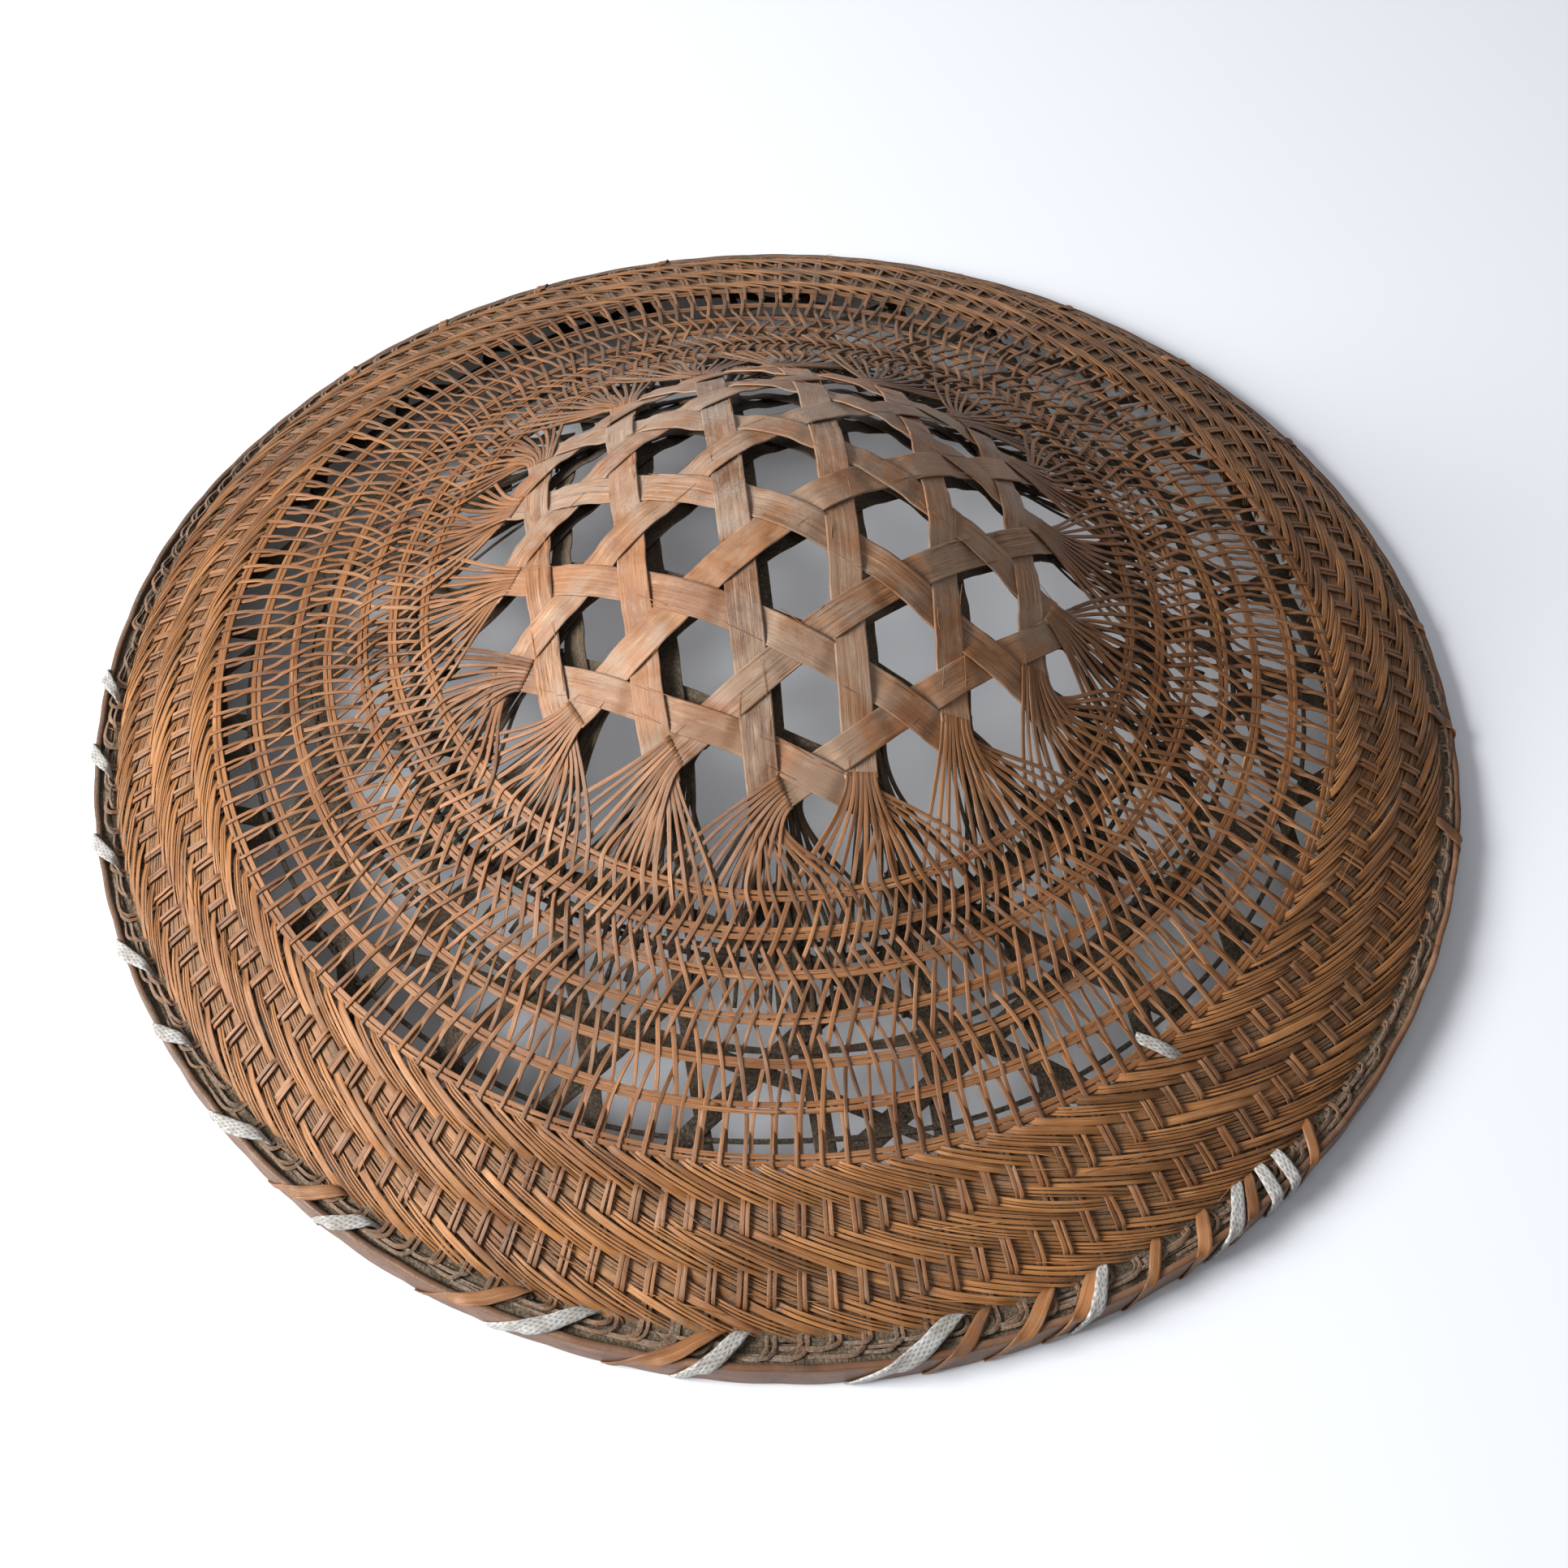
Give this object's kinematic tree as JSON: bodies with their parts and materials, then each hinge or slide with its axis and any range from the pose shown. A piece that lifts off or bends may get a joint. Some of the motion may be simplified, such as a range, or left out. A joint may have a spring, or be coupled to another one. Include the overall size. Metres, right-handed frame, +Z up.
{
  "type": "conical hat",
  "caption": "Wide woven conical sun hat with a raised open-weave crown, a fan-and-hoop lattice brim and a dense woven edge band.",
  "frame": {"origin": "centre of the circle the rim stands on, at table height", "axes": "+Z up through the crown, -Y towards the front, +X to the wearer's left as seen from the front"},
  "size_m": [0.4792, 0.4776, 0.121],
  "materials": {
    "crown_splint_centre": "warm tan split bamboo, worn skin side out",
    "crown_splint_middle": "warm tan split bamboo, worn skin side out",
    "crown_splint_edge": "warm tan split bamboo, worn skin side out",
    "lattice_hoop": "thin orange-brown bamboo strip",
    "band_weft": "fine orange-brown bamboo strips laid flat",
    "rim_bamboo": "smooth dark brown bamboo",
    "lining_bamboo": "dusty grey-brown bamboo",
    "cane": "thin split cane",
    "white_cord": "braided off-white cord"
  },
  "bodies": {
    "root": {"band_weft_1": "band_weft", "band_weft_2": "band_weft", "band_weft_3": "band_weft", "band_weft_4": "band_weft", "band_weft_5": "band_weft", "band_weft_6": "band_weft", "band_weft_7": "band_weft", "band_weft_8": "band_weft", "band_weft_9": "band_weft", "cane_lashing_back_left": "cane", "cane_lashing_back_right": "cane", "cane_lashing_front": "cane", "cane_lashing_right": "cane", "crown_splint_centre_1": "crown_splint_centre", "crown_splint_centre_2": "crown_splint_centre", "crown_splint_centre_3": "crown_splint_centre", "crown_splint_centre_4": "crown_splint_centre", "crown_splint_centre_5": "crown_splint_centre", "crown_splint_centre_6": "crown_splint_centre", "crown_splint_edge_1": "crown_splint_edge", "crown_splint_edge_2": "crown_splint_edge", "crown_splint_edge_3": "crown_splint_edge", "crown_splint_edge_4": "crown_splint_edge", "crown_splint_edge_5": "crown_splint_edge", "crown_splint_edge_6": "crown_splint_edge", "crown_splint_middle_1": "crown_splint_middle", "crown_splint_middle_2": "crown_splint_middle", "crown_splint_middle_3": "crown_splint_middle", "crown_splint_middle_4": "crown_splint_middle", "crown_splint_middle_5": "crown_splint_middle", "crown_splint_middle_6": "crown_splint_middle", "lattice_hoop_1": "lattice_hoop", "lattice_hoop_2": "lattice_hoop", "lattice_hoop_3": "lattice_hoop", "lattice_hoop_4": "lattice_hoop", "lattice_hoop_5": "lattice_hoop", "lattice_hoop_6": "lattice_hoop", "lattice_hoop_7": "lattice_hoop", "lining_brim_net": "lining_bamboo", "lining_splint_centre_1": "lining_bamboo", "lining_splint_centre_2": "lining_bamboo", "lining_splint_centre_3": "lining_bamboo", "lining_splint_centre_4": "lining_bamboo", "lining_splint_centre_5": "lining_bamboo", "lining_splint_centre_6": "lining_bamboo", "lining_splint_middle_1": "lining_bamboo", "lining_splint_middle_2": "lining_bamboo", "lining_splint_middle_3": "lining_bamboo", "lining_splint_middle_4": "lining_bamboo", "lining_splint_middle_5": "lining_bamboo", "lining_splint_middle_6": "lining_bamboo", "rim_filler": "rim_bamboo", "rim_inner_hoop": "rim_bamboo", "rim_outer_hoop": "rim_bamboo", "white_cord": "white_cord"}
  },
  "joints": []
}
